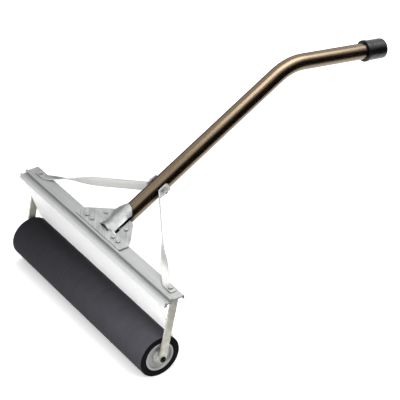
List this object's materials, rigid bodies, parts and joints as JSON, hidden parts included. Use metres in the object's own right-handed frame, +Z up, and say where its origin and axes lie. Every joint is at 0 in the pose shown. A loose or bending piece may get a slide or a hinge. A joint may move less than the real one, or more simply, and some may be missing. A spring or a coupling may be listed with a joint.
{
  "type": "roller squeegee",
  "caption": "Push-type floor squeegee: a foam-covered roller turns between two flat arms under a slotted rail with a guard sheet, twisted braces and a bent tube handle.",
  "frame": {"origin": "on the floor, under the middle of the tool's bounding box, with the roller standing on z = 0", "axes": "+X along the roller's axle, +Y from the roller towards the grip, +Z up"},
  "size_m": [0.6438, 0.9515, 0.5164],
  "materials": {
    "black_foam": "matt open sponge skin",
    "core_aluminium": "drawn tube, cut ends",
    "grey_nylon": "turned, satin",
    "white_acetal": "satin",
    "mill_aluminium": "mill finish, drawn along the rail",
    "bright_aluminium": "bright rolled sheet",
    "arm_aluminium": "clear anodised flat bar",
    "bronze_anodised": "bronze anodised, satin",
    "black_vinyl": "dipped vinyl, semi-matt",
    "zinc_steel": "zinc plated",
    "black_oxide_steel": "black oxide, oiled"
  },
  "bodies": {
    "frame": {"axle_washer_left": "white_acetal", "axle_washer_right": "white_acetal", "rail_extrusion": "mill_aluminium", "handle_bracket": "mill_aluminium", "socket_clamp": "mill_aluminium", "brace_left": "mill_aluminium", "brace_right": "mill_aluminium", "guard_sheet": "bright_aluminium", "arm_left": "arm_aluminium", "arm_right": "arm_aluminium", "handle_tube": "bronze_anodised", "grip_cap": "black_vinyl", "axle": "zinc_steel", "cross_bolt": "zinc_steel", "cross_nut": "zinc_steel", "cross_washer_left": "zinc_steel", "cross_washer_right": "zinc_steel", "arm_bolt_left": "zinc_steel", "arm_bolt_right": "zinc_steel", "arm_nut_left": "zinc_steel", "arm_nut_right": "zinc_steel", "bracket_1_bolt_left": "zinc_steel", "bracket_1_bolt_right": "zinc_steel", "bracket_1_nut_left": "zinc_steel", "bracket_1_nut_right": "zinc_steel", "bracket_2_bolt_left": "zinc_steel", "bracket_2_bolt_right": "zinc_steel", "bracket_2_nut_left": "zinc_steel", "bracket_2_nut_right": "zinc_steel", "clamp_bolt_left": "zinc_steel", "clamp_bolt_right": "zinc_steel", "clamp_nut_left": "zinc_steel", "clamp_nut_right": "zinc_steel", "axle_screw_left": "black_oxide_steel", "axle_screw_right": "black_oxide_steel"},
    "roller": {"foam_sleeve": "black_foam", "core_tube": "core_aluminium", "end_plug_left": "grey_nylon", "end_plug_right": "grey_nylon", "bushing_left": "white_acetal", "bushing_right": "white_acetal"}
  },
  "joints": [
    {"name": "roller_spin", "type": "hinge", "parent": "frame", "child": "roller", "pos_m": [0, -0.42077, 0.055], "axis": [1, 0, 0], "continuous": true}
  ]
}
